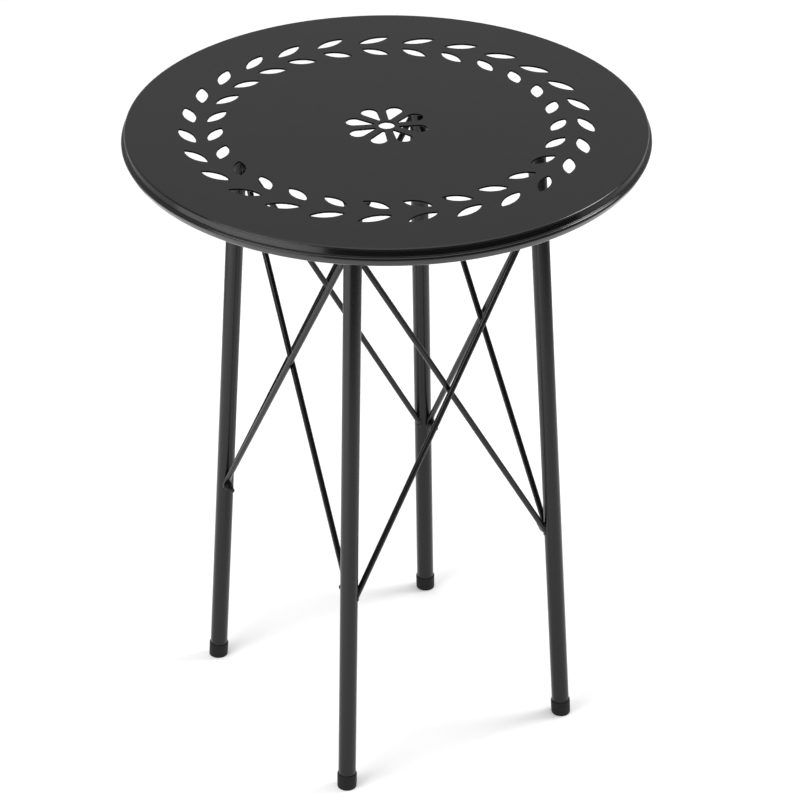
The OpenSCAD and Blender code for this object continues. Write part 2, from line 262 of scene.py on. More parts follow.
def makeDust():
    # thin dust that settles on faces that look up, thicker in patches
    group = bpy.data.node_groups.new("settledDust", "ShaderNodeTree")
    groupSocket(group, "Vector", "INPUT", "NodeSocketVector")
    groupSocket(group, "Colour", "INPUT", "NodeSocketColor", (0.03, 0.03, 0.03, 1))
    groupSocket(group, "Dust Colour", "INPUT", "NodeSocketColor", (0.2, 0.19, 0.18, 1))
    groupSocket(group, "Amount", "INPUT", "NodeSocketFloat", 0.05)
    groupSocket(group, "Colour", "OUTPUT", "NodeSocketColor")
    given = addNode(group, "NodeGroupInput", -900, 0)
    out = addNode(group, "NodeGroupOutput", 600, 0)
    link = group.links.new
    facing = addNode(group, "ShaderNodeNewGeometry", -900, -300)
    split = addNode(group, "ShaderNodeSeparateXYZ", -700, -300)
    link(facing.outputs["Normal"], split.inputs[0])
    up = addNode(group, "ShaderNodeMapRange", -500, -300)
    up.inputs["From Min"].default_value = dustFall["steepest"]
    up.inputs["From Max"].default_value = dustFall["level"]
    link(split.outputs["Z"], up.inputs["Value"])
    patch = addNode(group, "ShaderNodeTexNoise", -500, 100)
    patch.inputs["Scale"].default_value = dustFall["patchScale"]
    patch.inputs["Detail"].default_value = dustFall["patchDetail"]
    link(given.outputs["Vector"], patch.inputs["Vector"])
    both = addNode(group, "ShaderNodeMath", -250, -60, operation="MULTIPLY")
    link(up.outputs["Result"], both.inputs[0])
    link(patch.outputs["Fac"], both.inputs[1])
    mask = addNode(group, "ShaderNodeMath", -60, -60, operation="MULTIPLY", use_clamp=True)
    link(both.outputs[0], mask.inputs[0])
    link(given.outputs["Amount"], mask.inputs[1])
    mix = addNode(group, "ShaderNodeMix", 180, 120, data_type="RGBA")
    link(mask.outputs[0], mix.inputs["Factor"])
    link(given.outputs["Colour"], mix.inputs["A"])
    link(given.outputs["Dust Colour"], mix.inputs["B"])
    link(mix.outputs["Result"], out.inputs["Colour"])
    return group


powderCoat = makePowderCoat()
settledDust = makeDust()


def addShadedHoleWalls(tree, place, look, colour, roughness):
    # painted shade: the walls of the pierced holes get a darker colour, as if in shadow, and a
    # duller, less glossy finish than the face
    link = tree.links.new
    facing = addNode(tree, "ShaderNodeNewGeometry", -900, 700)
    split = addNode(tree, "ShaderNodeSeparateXYZ", -720, 700)
    link(facing.outputs["Normal"], split.inputs[0])
    level = addNode(tree, "ShaderNodeMath", -540, 700, operation="ABSOLUTE")
    link(split.outputs["Z"], level.inputs[0])
    upright = addNode(tree, "ShaderNodeMath", -360, 700, operation="LESS_THAN")
    upright.inputs[1].default_value = look["upright"]
    link(level.outputs[0], upright.inputs[0])
    flat = addNode(tree, "ShaderNodeVectorMath", -720, 500, operation="MULTIPLY")
    flat.inputs[1].default_value = (1, 1, 0)
    link(place, flat.inputs[0])
    reach = addNode(tree, "ShaderNodeVectorMath", -540, 500, operation="LENGTH")
    link(flat.outputs["Vector"], reach.inputs[0])
    inside = addNode(tree, "ShaderNodeMath", -360, 500, operation="LESS_THAN")
    inside.inputs[1].default_value = look["radius"]
    link(reach.outputs["Value"], inside.inputs[0])
    mask = addNode(tree, "ShaderNodeMath", -180, 600, operation="MULTIPLY")
    link(upright.outputs[0], mask.inputs[0])
    link(inside.outputs[0], mask.inputs[1])
    # painted shade: the wall colour darkens the paint inside the holes
    shade = addNode(tree, "ShaderNodeMix", -160, 380, data_type="RGBA")
    shade.inputs["B"].default_value = (*look["colour"], 1)
    link(mask.outputs[0], shade.inputs["Factor"])
    link(colour, shade.inputs["A"])
    dull = addNode(tree, "ShaderNodeMix", -160, 160, data_type="FLOAT")
    dull.inputs["B"].default_value = look["roughness"]
    link(mask.outputs[0], dull.inputs["Factor"])
    link(roughness, dull.inputs["A"])
    gloss = addNode(tree, "ShaderNodeMix", -160, -40, data_type="FLOAT")
    gloss.inputs["A"].default_value = look["faceGloss"]
    gloss.inputs["B"].default_value = look["gloss"]
    link(mask.outputs[0], gloss.inputs["Factor"])
    link(gloss.outputs["Result"], tree.nodes["Principled BSDF"].inputs["Specular IOR Level"])
    return shade.outputs["Result"], dull.outputs["Result"]


def coatedMaterial(name, look):
    material = bpy.data.materials.new(name)
    material.use_nodes = True
    tree = material.node_tree
    link = tree.links.new
    shader = tree.nodes["Principled BSDF"]
    shader.inputs["IOR"].default_value = look["ior"]
    shader.inputs["Metallic"].default_value = look.get("metallic", 0.0)
    place = addNode(tree, "ShaderNodeTexCoord", -900, 0)
    coat = addNode(tree, "ShaderNodeGroup", -620, 60, node_tree=powderCoat)
    coat.inputs["Colour"].default_value = (*look["colour"], 1)
    coat.inputs["Shade Drift"].default_value = look["drift"]
    coat.inputs["Roughness"].default_value = look["roughness"]
    coat.inputs["Roughness Drift"].default_value = look["roughnessDrift"]
    coat.inputs["Peel Scale"].default_value = look["peelScale"]
    coat.inputs["Grit"].default_value = look["grit"]
    dust = addNode(tree, "ShaderNodeGroup", -360, 160, node_tree=settledDust)
    dust.inputs["Amount"].default_value = look["dust"]
    bump = addNode(tree, "ShaderNodeBump", -360, -160)
    bump.inputs["Strength"].default_value = look["peel"]
    bump.inputs["Distance"].default_value = look["peelDepth"]
    link(place.outputs["Object"], coat.inputs["Vector"])
    link(place.outputs["Object"], dust.inputs["Vector"])
    link(coat.outputs["Colour"], dust.inputs["Colour"])
    colour, roughness = dust.outputs["Colour"], coat.outputs["Roughness"]
    # hole walls: painted shade in the colour, with a duller finish
    if "shadedHoleWalls" in look:
        colour, roughness = addShadedHoleWalls(tree, place.outputs["Object"], look["shadedHoleWalls"],
                                       colour, roughness)
    link(colour, shader.inputs["Base Color"])
    link(roughness, shader.inputs["Roughness"])
    link(coat.outputs["Height"], bump.inputs["Height"])
    link(bump.outputs["Normal"], shader.inputs["Normal"])
    return material


looks = {
    "topPaint": dict(colour=(0.0040, 0.0040, 0.0041), ior=1.45, roughness=0.15, roughnessDrift=0.03,
                     drift=0.10, peelScale=480, grit=0.30, peel=0.09, peelDepth=0.00010, dust=0.008,
                     # hole walls: darker colour as painted shade, with a duller finish
                     shadedHoleWalls=dict(radius=0.262, upright=0.5, faceGloss=0.5, gloss=0.04,
                                  colour=(0.0018, 0.0018, 0.0018), roughness=0.7)),
    "framePaint": dict(colour=(0.0040, 0.0040, 0.0041), ior=1.40, roughness=0.25,
                       roughnessDrift=0.05, drift=0.16, peelScale=560, grit=0.30, peel=0.16,
                       peelDepth=0.00010, dust=0.008),
    "capRubber": dict(colour=(0.0048, 0.0048, 0.0049), ior=1.34, roughness=0.62,
                      roughnessDrift=0.10, drift=0.25, peelScale=900, grit=0.8, peel=0.4,
                      peelDepth=0.00012, dust=0.02),
    "blackZinc": dict(colour=(0.030, 0.030, 0.032), ior=1.5, roughness=0.34, roughnessDrift=0.14,
                      drift=0.5, peelScale=1400, grit=0.6, peel=0.3, peelDepth=0.00006, dust=0.0,
                      metallic=0.85),
}
topPaint = coatedMaterial("topPaint", looks["topPaint"])
framePaint = coatedMaterial("framePaint", looks["framePaint"])
capRubber = coatedMaterial("capRubber", looks["capRubber"])
blackZinc = coatedMaterial("blackZinc", looks["blackZinc"])
print("materials made")

# The top: a flat pierced face, a straight band and a hem that ends in an open roll
topSheet = {
    "faceRadius": 0.272,
    "plateRadius": 0.262,     # where the flat plate joins the lathed rim
    "bendRadius": 0.0022,
    "hollowRadius": 0.0009,   # between the straight band and the hem
    "nose": dict(out=0.0008, drop=0.0112, radius=0.0024),
    "roll": dict(inward=0.0046, drop=0.0038, radius=0.0054, end=-210),
    "cutRound": 0.00015,      # paint rounds the edges of the pierced holes
    "cutShoulder": (0.7, 0.3),   # a point on that rounding: share outwards, share down
    "rimSteps": 320,
    "bendSteps": 8,
    "hollowSteps": 8,
    "noseSteps": 12,
    "rollSteps": 30,
    "tipSteps": 8,
    "sideSteps": 16,
    "petalSteps": 30,
    "eyeSteps": 60,
    "leafPairs": 27,
    "wreathTurn": 102.8,
    "wreathLap": 0.85,        # how far the equal steps run past a full turn
    "outerLeaf": dict(ring=0.2069, length=0.036, width=0.013, tip=0.0014, lean=23.5),
    "innerLeaf": dict(ring=0.178, length=0.0315, width=0.0133, tip=0.0014, lean=-28),
    "petals": 8,
    "petalTurn": 1.6,
    "petal": dict(radius=0.0087, out=0.0349, point=0.013, tip=0.0015),
    "eyeRadius": 0.00875,
}


def arcChain(bm, z, arcs):
    # a closed outline from arcs, each given as (x, y, radius, start, sweep, steps)
    firsts, lasts = [], []
    for x, y, radius, start, sweep, steps in arcs:
        t = math.radians(start)
        first = bm.verts.new((x + radius * math.cos(t), y + radius * math.sin(t), z))
        spun = bmesh.ops.spin(bm, geom=[first], cent=(x, y, z), axis=(0, 0, 1),
                              angle=math.radians(sweep), steps=steps)
        firsts.append(first)
        lasts += [g for g in spun["geom_last"] if isinstance(g, bmesh.types.BMVert)]
    for last, first in zip(lasts, firsts[1:] + firsts[:1]):
        if (last.co - first.co).length > near["merge"]:
            bm.edges.new((last, first))


def leafOutline(bm, grow, z, length, width, tip, **rest):
    # two equal arcs between round tips; `grow` widens the outline all round
    reach = length / 2 - tip
    radius = (reach ** 2 / (width / 2 - tip) + tip + width / 2) / 2
    half = math.degrees(math.asin(reach / (radius - tip)))
    centre = radius - width / 2
    tips, sides = topSheet["tipSteps"], topSheet["sideSteps"]
    arcChain(bm, z, [(reach, 0, tip + grow, half - 90, 180 - 2 * half, tips),
                     (0, -centre, radius + grow, 90 - half, 2 * half, sides),
                     (-reach, 0, tip + grow, 90 + half, 180 - 2 * half, tips),
                     (0, centre, radius + grow, 270 - half, 2 * half, sides)])


def petalOutline(bm, grow, z, radius, out, point, tip):
    # a wide and a narrow round end with straight sides
    narrow = point + tip
    spread = math.degrees(math.asin((radius - tip) / (out - narrow)))
    wideSteps, tipSteps = topSheet["petalSteps"], topSheet["tipSteps"]
    arcChain(bm, z, [(out, 0, radius + grow, -90 - spread, 180 + 2 * spread, wideSteps),
                     (narrow, 0, tip + grow, 90 + spread, 180 - 2 * spread, tipSteps)])


def eyeOutline(bm, grow, z, radius):
    bmesh.ops.create_circle(bm, cap_ends=False, segments=topSheet["eyeSteps"], radius=radius + grow,
                            matrix=Matrix.Translation((0, 0, z)))


def cutThrough(bm, outline, sizes, place, copies, turn=2 * math.pi):
    # the wall of a pierced hole: rings from the top face to the underside, then copied round
    top, soft = stance["height"], topSheet["cutRound"]
    out, down = topSheet["cutShoulder"]
    rings = [(0, top), (-soft * out, top - soft * down), (-soft, top - soft),
             (-soft, underZ + soft), (0, underZ)]
    known = set(bm.verts)
    previous = None
    for grow, z in rings:
        before = set(bm.edges)
        outline(bm, grow, z, **sizes)
        ring = [e for e in bm.edges if e not in before]
        points = list({v for e in ring for v in e.verts})
        bmesh.ops.remove_doubles(bm, verts=points, dist=near["ringMerge"])
        ring = [e for e in bm.edges if e not in before]
        if previous:
            bmesh.ops.bridge_loops(bm, edges=previous + ring)
        previous = ring
    made = [v for v in bm.verts if v not in known]
    bmesh.ops.transform(bm, matrix=place, verts=made)
    if copies > 1:
        edges = list({e for v in made for e in v.link_edges})
        faces = list({f for v in made for f in v.link_faces})
        bmesh.ops.spin(bm, geom=made + edges + faces, cent=(0, 0, 0), axis=(0, 0, 1),
                       angle=turn * (copies - 1) / copies, steps=copies - 1, use_duplicate=True)


def rimSkin(inset):
    # the rim's outer line, or the same line set in by the sheet's thickness
    s, top = topSheet, stance["height"]
    hollowRadius = s["hollowRadius"]
    noseRadius, rollRadius = s["nose"]["radius"], s["roll"]["radius"]
    bend = Vector((s["faceRadius"] - s["bendRadius"], top - s["bendRadius"]))
    nose = Vector((s["faceRadius"] + s["nose"]["out"], top - s["nose"]["drop"]))
    roll = Vector((s["faceRadius"] - s["roll"]["inward"], nose.y - s["roll"]["drop"]))
    run = roll - nose
    facing = math.degrees(math.atan2(run.y, run.x)
                          + math.acos((noseRadius - rollRadius) / run.length))
    across = hollowRadius - s["nose"]["out"]
    rise = math.sqrt((noseRadius + hollowRadius) ** 2 - across ** 2)
    meet = math.degrees(math.atan2(rise, across))
    line = [(s["plateRadius"], top - inset)]
    line += arc(bend, s["bendRadius"] - inset, 90, 0, s["bendSteps"])
    line += arc(nose + Vector((across, rise)), hollowRadius + inset, 180, 180 + meet,
                s["hollowSteps"])
    line += arc(nose, noseRadius - inset, meet, facing, s["noseSteps"])[1:]
    line += arc(roll, rollRadius - inset, facing, s["roll"]["end"], s["rollSteps"])
    return line


def makeTop():
    bm = bmesh.new()
    lap = math.radians(360 + topSheet["wreathLap"])
    for leaf in (topSheet["outerLeaf"], topSheet["innerLeaf"]):
        place = (Matrix.Rotation(math.radians(topSheet["wreathTurn"]), 4, "Z")
                 @ Matrix.Translation((leaf["ring"], 0, 0))
                 @ Matrix.Rotation(math.radians(90 + leaf["lean"]), 4, "Z"))
        cutThrough(bm, leafOutline, leaf, place, topSheet["leafPairs"], lap)
    turn = Matrix.Rotation(math.radians(topSheet["petalTurn"]), 4, "Z")
    cutThrough(bm, petalOutline, topSheet["petal"], turn, topSheet["petals"])
    cutThrough(bm, eyeOutline, dict(radius=topSheet["eyeRadius"]), Matrix(), 1)
    print("holes cut,", len(bm.verts), "points")
    for z in (stance["height"], underZ):
        bmesh.ops.create_circle(bm, cap_ends=False, segments=topSheet["rimSteps"],
                                radius=topSheet["plateRadius"],
                                matrix=Matrix.Translation((0, 0, z)))
        level = [e for e in bm.edges if all(abs(v.co.z - z) < near["level"] for v in e.verts)
                 and len(e.link_faces) < 2]
        bmesh.ops.triangle_fill(bm, use_beauty=True, edges=level)
    lathe(bm, rimSkin(0) + rimSkin(stance["sheet"])[::-1], topSheet["rimSteps"])
    bmesh.ops.remove_doubles(bm, verts=bm.verts, dist=near["merge"])
    finishPiece(bm, "tableTop", topPaint, ["table_top"],
                flat=lambda f: abs(f.normal.z) > near["upright"])


makeTop()

# Legs: round tube, level under the rail, square in the cap
tube = {
    "radius": 0.0095,
    "capSole": 0.004,
    "segments": 72,
    "overrun": 0.02,          # past the top, before the tube is cut level
    "weld": 0.0011,
    "weldSteps": 44,
    "weldDrop": 0.0003,       # the bead's middle below the rail
    "brace": 0.0032,
    "braceWeldSteps": 36,
    "braceLow": 0.223,
    "braceHigh": 0.641,
    "braceShift": 0.0035,
}


def meetTube(leg, start, direction, radius, steps):
    # where a rod's skin meets the tube, all round the rod
    d = legDirection(leg)
    frameOf = aimZ(start, direction)
    points = []
    for i in range(steps):
        t = 2 * math.pi * i / steps
        p = frameOf @ Vector((radius * math.cos(t), radius * math.sin(t), 0))
        w = Vector(direction).normalized()
        a = w - d * w.dot(d)
        b = (p - footPoint(leg)) - d * (p - footPoint(leg)).dot(d)
        half = a.dot(b) / a.dot(a)
        inside = half * half - (b.dot(b) - tube["radius"] ** 2) / a.dot(a)
        points.append(p + w * (-half + math.sqrt(max(inside, 0))))
    return points


def makeLegs():
    for leg, corner in enumerate(cornerNames):
        bm = bmesh.new()
        bottom = legFrame(leg) @ Vector((0, 0, tube["capSole"]))
        high = legAt(leg, stance["height"] + tube["overrun"])
        rod(bm, bottom, high, tube["radius"], tube["segments"])
        bmesh.ops.bisect_plane(bm, geom=list(bm.verts) + list(bm.edges) + list(bm.faces),
                               plane_co=(0, 0, railZ), plane_no=(0, 0, 1), clear_outer=True)
        bmesh.ops.holes_fill(bm, edges=[e for e in bm.edges if e.is_boundary], sides=0)
        top = legAt(leg, railZ)
        ring = []
        for i in range(tube["weldSteps"]):
            t = 2 * math.pi * i / tube["weldSteps"]
            p = legFrame(leg) @ Vector((tube["radius"] * math.cos(t), tube["radius"] * math.sin(t),
                                        (top - footPoint(leg)).length))
            rise = (railZ - tube["weldDrop"] - p.z) / legDirection(leg).z
            ring.append(p + legDirection(leg) * rise)
        weldBead(bm, ring, tube["weld"], leg)
        node = "leg_" + corner
        finishPiece(bm, pieceName(node), framePaint, [node])


makeLegs()

# Welded rods of the front and rear frames
weldedBraces = [("front_brace_outer", 0, 1, 1), ("front_brace_inner", 1, 0, -1),
                ("rear_brace_outer", 3, 2, 1), ("rear_brace_inner", 2, 3, -1)]


def makeWeldedBraces():
    for name, low, high, side in weldedBraces:
        shift = Vector((0, corners[low][1] * side * tube["braceShift"], 0))
        start = legAt(low, tube["braceLow"]) + shift
        end = legAt(high, tube["braceHigh"]) + shift
        run = (end - start).normalized()
        bm = bmesh.new()
        rod(bm, start + run * tube["radius"], end - run * tube["radius"], tube["brace"])
        for leg, point, way in ((low, start, run), (high, end, -run)):
            ring = meetTube(leg, point, way, tube["brace"], tube["braceWeldSteps"])
            weldBead(bm, ring, tube["weld"], len(name) + leg)
        finishPiece(bm, pieceName(name), framePaint, [name])


makeWeldedBraces()

# Bolted rods of the left and right sides, with flattened ends that lie along the tubes
boltedBrace = {
    "tabThick": 0.0026,
    "tabWidth": 0.0096,
    "tabDrop": 0.007,
    "seat": 0.0001,
    "bendReach": 0.005,
    "bendSteps": 10,
    "roundRun": 0.010,
    "tipSteps": 10,
    "tipLeast": 0.0004,       # half width where the rounded tip begins
    "tipThin": (0.72, 0.92),  # share of the thickness at its first stations
    "square": 6,              # power of the flat's section, and of the round rod's
    "round": 2,
    "thicken": 1.3,           # how late the flat thickens along the bend
}
tabMiddle = tube["radius"] + boltedBrace["seat"] + boltedBrace["tabThick"] / 2
boltedBraces = [("left_brace_outer", 3, 0, 1), ("left_brace_inner", 0, 3, -1),
                ("right_brace_outer", 2, 1, 1), ("right_brace_inner", 1, 2, -1)]


def braceEnds(low, high, side):
    # for each end: the leg, sideways shift, bend point, rod direction and stud's place up the leg
    shift = corners[low][0] * side * tube["braceShift"]
    lines = [legAt(low, tube["braceLow"]) + Vector((shift, 0, 0)),
             legAt(high, tube["braceHigh"]) + Vector((shift, 0, 0))]
    ends = []
    for i, leg in enumerate((low, high)):
        along = (lines[1 - i] - lines[i]).normalized()
        sideways = legFrame(leg).to_3x3() @ Vector((0, 1, 0))
        inward = -corners[leg][1] * tabMiddle
        bend = lines[i] + along * ((inward - shift * sideways.x) / along.dot(sideways))
        bendUp = (bend - footPoint(leg)).dot(legDirection(leg))
        studUp = bendUp + (-1 if i == 0 else 1) * boltedBrace["tabDrop"]
        ends.append(dict(leg=leg, shift=shift, bend=bend, along=along, studUp=studUp,
                         up=1 if i == 0 else -1))
    return ends


def studFrame(leg, shift, studUp):
    # z points from the tube's axis towards the other leg of that side
    inward = -corners[leg][1]
    return (legFrame(leg) @ Matrix.Translation((shift, 0, studUp))
            @ Matrix.Rotation(math.radians(-90 * inward), 4, "X"))


def tabSections(end):
    # stations from the rounded tip of the flat, round the bend, to where the rod is round
    leg = end["leg"]
    up = legDirection(leg) * end["up"]
    wide = legFrame(leg).to_3x3() @ Vector((1, 0, 0))
    stud = legFrame(leg) @ Vector((end["shift"], -corners[leg][1] * tabMiddle, end["studUp"]))
    flat = boltedBrace
    halfWide, halfThick = flat["tabWidth"] / 2, flat["tabThick"] / 2
    square, rounder = flat["square"], flat["square"] - flat["round"]
    sections = []
    for i in range(flat["tipSteps"] + 1):   # round tip
        t = math.radians(90 * i / flat["tipSteps"])
        thin = flat["tipThin"][i] if i < len(flat["tipThin"]) else 1
        sections.append((stud - up * halfWide * math.cos(t), up,
                         max(halfWide * math.sin(t), flat["tipLeast"]), halfThick * thin, square))
    first = end["bend"] - up * flat["bendReach"]
    last = end["bend"] + end["along"] * flat["roundRun"]
    sections.append((first, up, halfWide, halfThick, square))
    for i in range(1, flat["bendSteps"] + 1):
        t = i / flat["bendSteps"]
        p = first * (1 - t) ** 2 + end["bend"] * 2 * t * (1 - t) + last * t ** 2
        d = ((end["bend"] - first) * (1 - t) + (last - end["bend"]) * t).normalized()
        s = t * t * (3 - 2 * t)
        sections.append((p, d, halfWide + (tube["brace"] - halfWide) * s,
                         halfThick + (tube["brace"] - halfThick) * s ** flat["thicken"],
                         square - rounder * s))
    return sections, wide


def loftEnd(bm, end, steps=40):
    sections, wide = tabSections(end)
    previous = None
    for number, (p, d, a, b, square) in enumerate(sections):
        x = (wide - d * wide.dot(d)).normalized()
        place = Matrix.Translation(p) @ Matrix((x, d.cross(x), d)).transposed().to_4x4()
        ring = bmesh.ops.create_circle(bm, cap_ends=(number == 0), segments=steps,
                                       radius=1)["verts"]
        for v in ring:   # from a rounded bar to a true circle
            reach = (abs(v.co.x) ** square + abs(v.co.y) ** square) ** (1 / square)
            v.co = Vector((v.co.x / reach * a, v.co.y / reach * b, 0))
        bmesh.ops.transform(bm, matrix=place, verts=ring)
        edges = list({e for v in ring for e in v.link_edges})
        if previous:
            bmesh.ops.bridge_loops(bm, edges=previous + edges)
        previous = edges
    return previous


def makeBoltedBraces():
    for name, low, high, side in boltedBraces:
        bm = bmesh.new()
        loops = [loftEnd(bm, end) for end in braceEnds(low, high, side)]
        bmesh.ops.bridge_loops(bm, edges=loops[0] + loops[1])
        finishPiece(bm, pieceName(name), framePaint, [name], sharp=50)


makeBoltedBraces()

# Studs, washers and nuts
hardware = {
    "studRadius": 0.0025,
    "studReach": 0.0155,
    "wall": 0.0015,
    "pitch": 0.0008,
    "washer": (0.0050, 0.00255, 0.0010),     # outer radius, bore radius, thickness
    "nut": (0.0080, 0.0047),                 # across flats, height
    "topStudRadius": 0.003,
    "topStudLength": 0.015,
    "topStudX": 0.070,
    "topPitch": 0.001,
    "topWasher": (0.0060, 0.00305, 0.0012),
    "topNut": (0.0100, 0.0050),
    "studSteps": 32,
    "shankSkin": 0.00003,     # how far the shank stays inside the thread's crests
    "threadSteps": 20,
    "threadDepth": 0.55,      # share of the pitch
    "threadCrest": 0.06,      # half the crest's width, share of the pitch
    "threadSkin": 0.00002,    # how far the flanks sink into the root
    "threadTip": 0.6,         # chamfer of the tip, share of the depth
    "threadPlay": 0.00005,
    "washerSoft": 0.18,       # share of the thickness that is cut off the rims
    "washerSteps": 48,
    "nutSteps": 72,
    "nutFace": 0.475,         # radius of the round end face, share of the width across flats
    "nutCone": 28,
    "nutMouth": 0.09,         # countersink of the bore, share of the height
    "braceTurn": 23,          # degrees that each nut is turned on from the one before
    "topTurn": 31,
}


def threadedStud(bm, place, radius, start, threadStart, end, pitch):
    # plain shank, then a real helix up to a chamfered tip
    h = hardware
    depth, crest, steps = pitch * h["threadDepth"], pitch * h["threadCrest"], h["threadSteps"]
    root, shank = radius - depth, radius - h["shankSkin"]
    lathe(bm, [(0, start), (shank, start), (shank, threadStart), (root, threadStart),
               (root, end - depth), (root - depth * h["threadTip"], end), (0, end)],
          h["studSteps"], place)
    turns = int((end - depth - threadStart) / pitch) - 1
    known = set(bm.verts)
    sunk = root - h["threadSkin"]
    line = [(sunk, 0), (radius, pitch / 2 - crest), (radius, pitch / 2 + crest), (sunk, pitch)]
    verts = [bm.verts.new((r, 0, threadStart + z)) for r, z in line]
    edges = [bm.edges.new(pair) for pair in zip(verts, verts[1:])]
    bmesh.ops.spin(bm, geom=verts + edges, cent=(0, 0, 0), axis=(0, 0, 1),
                   angle=2 * math.pi * turns, steps=steps * turns, dvec=(0, 0, pitch / steps))
    made = [v for v in bm.verts if v not in known]
    bmesh.ops.transform(bm, matrix=place, verts=made)


def washer(bm, place, outer, bore, thick):
    soft = thick * hardware["washerSoft"]
    lathe(bm, [(bore, 0), (outer - soft, 0), (outer, soft), (outer, thick - soft),
               (outer - soft, thick), (bore, thick), (bore, 0)], hardware["washerSteps"], place)


def hexNut(bm, place, flats, height, bore):
    # the six sides are cut back by a cone at both ends, as a turned nut's are
    h = hardware
    inner, half, steps = flats * h["nutFace"], flats / 2, h["nutSteps"]
    rings = []
    for level in range(4):
        ring = bmesh.ops.create_circle(bm, cap_ends=False, segments=steps, radius=1)["verts"]
        for v in ring:
            t = math.atan2(v.co.y, v.co.x)
            reach = half / math.cos((t + math.pi / 6) % (math.pi / 3) - math.pi / 6)
            drop = (reach - inner) * math.tan(math.radians(h["nutCone"]))
            radius = inner if level in (0, 3) else reach
            z = {0: 0, 1: drop, 2: height - drop, 3: height}[level]
            v.co = Vector((radius * math.cos(t), radius * math.sin(t), z))
        rings.append(list({e for v in ring for e in v.link_edges}))
    mouth = height * h["nutMouth"]
    for radius, z in ((bore + mouth, height), (bore, height - mouth),
                      (bore, mouth), (bore + mouth, 0)):
        ring = bmesh.ops.create_circle(bm, cap_ends=False, segments=steps, radius=radius,
                                       matrix=Matrix.Translation((0, 0, z)))["verts"]
        rings.append(list({e for v in ring for e in v.link_edges}))
    made = {v for ring in rings for e in ring for v in e.verts}
    for a, b in zip(rings, rings[1:] + rings[:1]):
        bmesh.ops.bridge_loops(bm, edges=a + b)
    bmesh.ops.transform(bm, matrix=place, verts=list(made))


def makeHardware():
    h = hardware
    studs, washers, nuts = bmesh.new(), bmesh.new(), bmesh.new()
    face = tabMiddle + boltedBrace["tabThick"] / 2
    number = 0
    for _, low, high, side in boltedBraces:
        for end in braceEnds(low, high, side):
            place = studFrame(end["leg"], end["shift"], end["studUp"])
            number += 1
            turn = Matrix.Rotation(math.radians(h["braceTurn"] * number), 4, "Z")
            threadedStud(studs, place @ turn, h["studRadius"], tube["radius"] - h["wall"], face,
                         tube["radius"] + h["studReach"], h["pitch"])
            washer(washers, place @ Matrix.Translation((0, 0, face)), *h["washer"])
            seat = place @ Matrix.Translation((0, 0, face + h["washer"][2]))
            hexNut(nuts, seat @ turn, *h["nut"], h["studRadius"] + h["threadPlay"])
    finishPiece(studs, "braceStuds", blackZinc, ["brace_studs"])
    finishPiece(washers, "braceWashers", blackZinc, ["brace_washers"])
    finishPiece(nuts, "braceNuts", blackZinc, ["brace_nuts"], sharp=25)
    studs, washers, nuts = bmesh.new(), bmesh.new(), bmesh.new()
    for x in (-h["topStudX"], h["topStudX"]):
        for y in (-stance["topSpan"][1] / 2, stance["topSpan"][1] / 2):
            number += 1
            turn = Matrix.Rotation(math.radians(h["topTurn"] * number), 4, "Z")
            under = Matrix.Translation((x, y, underZ)) @ Matrix.Rotation(math.pi, 4, "X")
            threadedStud(studs, under @ turn, h["topStudRadius"], 0, stance["rail"],
                         h["topStudLength"], h["topPitch"])
            washer(washers, under @ Matrix.Translation((0, 0, stance["rail"])), *h["topWasher"])
            seat = under @ Matrix.Translation((0, 0, stance["rail"] + h["topWasher"][2]))
            hexNut(nuts, seat @ turn, *h["topNut"], h["topStudRadius"] + h["threadPlay"])
    finishPiece(studs, "topStuds", blackZinc, ["top_studs"])
    finishPiece(washers, "topWashers", blackZinc, ["top_washers"])
    finishPiece(nuts, "topNuts", blackZinc, ["top_nuts"], sharp=25)


makeHardware()

# Rails: flat bars with round ends under the sheet
railBar = {
    "width": 0.018,
    "endSteps": 24,
    "holeRadius": 0.0032,
    "holeSteps": 32,
    "soft": 0.0006,
    "softSteps": 3,
    "joinAngle": 0.01,    # radians: faces that meet flatter than this become one
    "rimAngle": 1.2,      # radians: edges sharper than this are rounded
}


def makeRails():
    for name, side in (("front_rail", -1), ("rear_rail", 1)):
        bm = bmesh.new()
        reach, half = stance["topSpan"][0] / 2, railBar["width"] / 2
        for x, sign in ((reach, 1), (-reach, -1)):
            start = bm.verts.new((x, -sign * half, 0))
            bmesh.ops.spin(bm, geom=[start], cent=(x, 0, 0), axis=(0, 0, 1), angle=math.pi,
                           steps=railBar["endSteps"])
        ends = sorted((v for v in bm.verts if len(v.link_edges) == 1), key=lambda v: v.co.y)
        bm.edges.new(ends[:2])
        bm.edges.new(ends[2:])
        for x in (-hardware["topStudX"], hardware["topStudX"]):
            bmesh.ops.create_circle(bm, cap_ends=False, segments=railBar["holeSteps"],
                                    radius=railBar["holeRadius"],
                                    matrix=Matrix.Translation((x, 0, 0)))
        bmesh.ops.triangle_fill(bm, use_beauty=True, edges=list(bm.edges))
        grown = bmesh.ops.extrude_face_region(bm, geom=list(bm.faces))["geom"]
        lifted = [g for g in grown if isinstance(g, bmesh.types.BMVert)]
        bmesh.ops.translate(bm, vec=(0, 0, stance["rail"]), verts=lifted)
        bmesh.ops.recalc_face_normals(bm, faces=bm.faces)
        bmesh.ops.dissolve_limit(bm, angle_limit=railBar["joinAngle"], verts=bm.verts,
                                 edges=bm.edges)
        rims = [e for e in bm.edges
                if len(e.link_faces) == 2 and e.calc_face_angle(0) > railBar["rimAngle"]]
        bmesh.ops.bevel(bm, geom=rims, offset=railBar["soft"], segments=railBar["softSteps"],
                        profile=0.5, affect="EDGES", material=-1)
        bmesh.ops.translate(bm, vec=(0, side * stance["topSpan"][1] / 2, railZ), verts=bm.verts)
        finishPiece(bm, pieceName(name), framePaint, [name],
                    flat=lambda f: abs(f.normal.z) > near["upright"])


makeRails()

